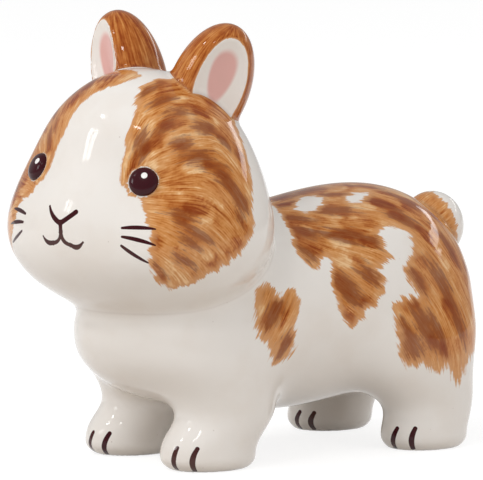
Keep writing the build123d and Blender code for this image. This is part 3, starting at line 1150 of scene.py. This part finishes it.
for side_name, side in SIDES.items():
    seat = on_face(side * eye_place[0], eye_place[1])
    out = slope_of(head_form, seat[None])[0]
    out /= np.linalg.norm(out)
    across = np.cross([0, 0, 1.0], out)
    across /= np.linalg.norm(across)
    up = np.cross(out, across)
    turns = np.arange(eye_steps) * 2 * math.pi / eye_steps
    rim = np.cos(turns)[:, None] * across + np.sin(turns)[:, None] * up
    rings = [seat + rim * eye_radius * wide + out * eye_rise * high for wide, high in eye_shares]
    points = np.vstack(rings + [[seat + out * eye_rise], [seat + out * eye_rise * eye_shares[0][1]]])
    top, foot = len(points) - 2, len(points) - 1
    faces = []
    for step in range(eye_steps):
        after = (step + 1) % eye_steps
        for ring in range(0, top - eye_steps, eye_steps):
            faces.append((ring + step, ring + after, ring + eye_steps + after, ring + eye_steps + step))
        faces += [(top - eye_steps + step, top - eye_steps + after, top), (after, step, foot)]
    mesh = bpy.data.meshes.new(side_name + "_eye_dome")
    mesh.from_pydata(((points + stand) * MM).tolist(), [], faces)
    mesh.polygons.foreach_set("use_smooth", [True] * len(faces))
    eye_glaze, tree, shader, place = new_glaze(side_name + "_eye_glaze")
    shader.inputs["Roughness"].default_value = 0.18
    shader.inputs["Specular IOR Level"].default_value = 0.25
    # Painted highlight: the white dot near the top of each dome
    dot = seat + up * highlight_above_middle + across * highlight_inward[side_name]
    dot = dot + out * eye_rise * highlight_rise_share + stand
    off_highlight = reckon_place(tree, "DISTANCE", place, tuple(dot))
    white = share_between(tree, off_highlight, highlight_radius + highlight_edge, highlight_radius - highlight_edge)
    colour = paint_over(tree, white, aubergine, painted_highlight_white)
    tree.links.new(colour, shader.inputs["Base Color"])
    mesh.materials.append(eye_glaze)
    eye = bpy.data.objects.new(side_name + "_eye_dome", mesh)
    bpy.context.collection.objects.link(eye)
    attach(eye, "root")
    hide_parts(side_name + "_eye")

# Table
# A seamless sheet of pale paper under the figure, with soft daylight from a tall window in
# front of it, a low one behind, and the ceiling of a white room.

sheet_reach = 6.0
# Its colour by the figure's light, and its colour and glow where it is seen
sheet_tone = (0.62, 0.56, 0.5, 1)
sheet_seen_tone = (0.3, 0.3, 0.3, 1)
sheet_glow = 0.8
corners = [(-sheet_reach, -sheet_reach, 0), (sheet_reach, -sheet_reach, 0),
           (sheet_reach, sheet_reach, 0), (-sheet_reach, sheet_reach, 0)]
sheet_mesh = bpy.data.meshes.new("pale_sheet")
sheet_mesh.from_pydata(corners, [], [(0, 1, 2, 3)])
sheet = bpy.data.objects.new("pale_sheet", sheet_mesh)
bpy.context.collection.objects.link(sheet)
paper = bpy.data.materials.new("pale_paper")
paper.use_nodes = True
tree = paper.node_tree
shader = tree.nodes["Principled BSDF"]
shader.inputs["Roughness"].default_value = 0.9
shader.inputs["Emission Color"].default_value = (1, 1, 1, 1)
path = put(tree, "LightPath", {}).outputs
seen = reckon(tree, "MAXIMUM", path["Is Camera Ray"], path["Is Glossy Ray"])
seen = reckon(tree, "MAXIMUM", seen, path["Is Transmission Ray"])
tree.links.new(paint_over(tree, seen, sheet_tone, sheet_seen_tone), shader.inputs["Base Color"])
tree.links.new(reckon(tree, "MULTIPLY", seen, sheet_glow), shader.inputs["Emission Strength"])
sheet_mesh.materials.append(paper)

room_level = 0.45
world = bpy.data.worlds.new("soft_room")
bpy.context.scene.world = world
world.use_nodes = True
air = world.node_tree.nodes["Background"]
air.inputs["Color"].default_value = (1, 1, 1, 1)
air.inputs["Strength"].default_value = room_level


def way_from(azimuth, elevation):
    """Direction from the figure to a place round it; azimuth from its front to its left."""
    azimuth, elevation = math.radians(azimuth), math.radians(elevation)
    level = math.cos(elevation)
    return Vector((math.sin(azimuth) * level, -math.cos(azimuth) * level, math.sin(elevation)))


# Height that every lamp faces, in metres
lamps_aim_at = 0.07


def panel(name, azimuth, elevation, distance, width, height, power):
    """Soft light panel, in metres and watts, that faces the figure."""
    light = bpy.data.lights.new(name, "AREA")
    light.shape = "RECTANGLE"
    light.size, light.size_y = width, height
    light.energy = power
    lamp = bpy.data.objects.new(name, light)
    bpy.context.collection.objects.link(lamp)
    lamp.location = way_from(azimuth, elevation) * distance + Vector((0, 0, lamps_aim_at))
    lamp.rotation_euler = way_from(azimuth, elevation).to_track_quat("Z", "Y").to_euler()
    return lamp


panel("ceiling", 0.0, 60.0, 1.6, 1.4, 1.4, 8.0).visible_glossy = False
panel("front_screen", 10.0, 17.0, 1.6, 1.2, 1.0, 4.2).visible_glossy = False
panel("side_screen", 112.0, 11.0, 1.6, 1.2, 1.0, 7.4).visible_glossy = False
for pane, azimuth in enumerate((-16.0, -23.0)):
    panel(f"window_pane_{pane}", azimuth, 23.0, 1.3, 0.11, 0.3, 1.0)
for pane, azimuth in enumerate((-24.0, 28.0)):
    panel(f"skylight_{pane}", azimuth, 46.0, 1.5, 0.14, 0.1, 0.9)
panel("back_window", -170.0, 21.0, 1.5, 1.0, 0.12, 1.3)

view_azimuth, view_elevation = 54.0, 7.0
view_distance = 2.1
pixels_per_millimetre = 3.2
frame_width, sensor_width = 483.0, 36.0
# Where the middle of the trunk, at this height, falls right of and below the frame's middle
target_height = 68.0
right_of_middle, below_middle = 30.5, -7.5
back = way_from(view_azimuth, view_elevation)
right = Vector((math.cos(math.radians(view_azimuth)), math.sin(math.radians(view_azimuth)), 0))
target = (Vector((0, 0, target_height)) + Vector(stand)) * MM
pixel = MM / pixels_per_millimetre
aim = target - right * right_of_middle * pixel + back.cross(right) * below_middle * pixel
photographer = bpy.data.cameras.new("photographer")
photographer.sensor_width = sensor_width
photographer.lens = pixels_per_millimetre * view_distance / MM * sensor_width / frame_width
photographer.clip_end = 50
camera = bpy.data.objects.new("photographer", photographer)
bpy.context.collection.objects.link(camera)
camera.location = target + back * view_distance
camera.rotation_euler = (aim - camera.location).to_track_quat("-Z", "Y").to_euler()
bpy.context.scene.camera = camera
bpy.context.scene.view_settings.view_transform = "Standard"
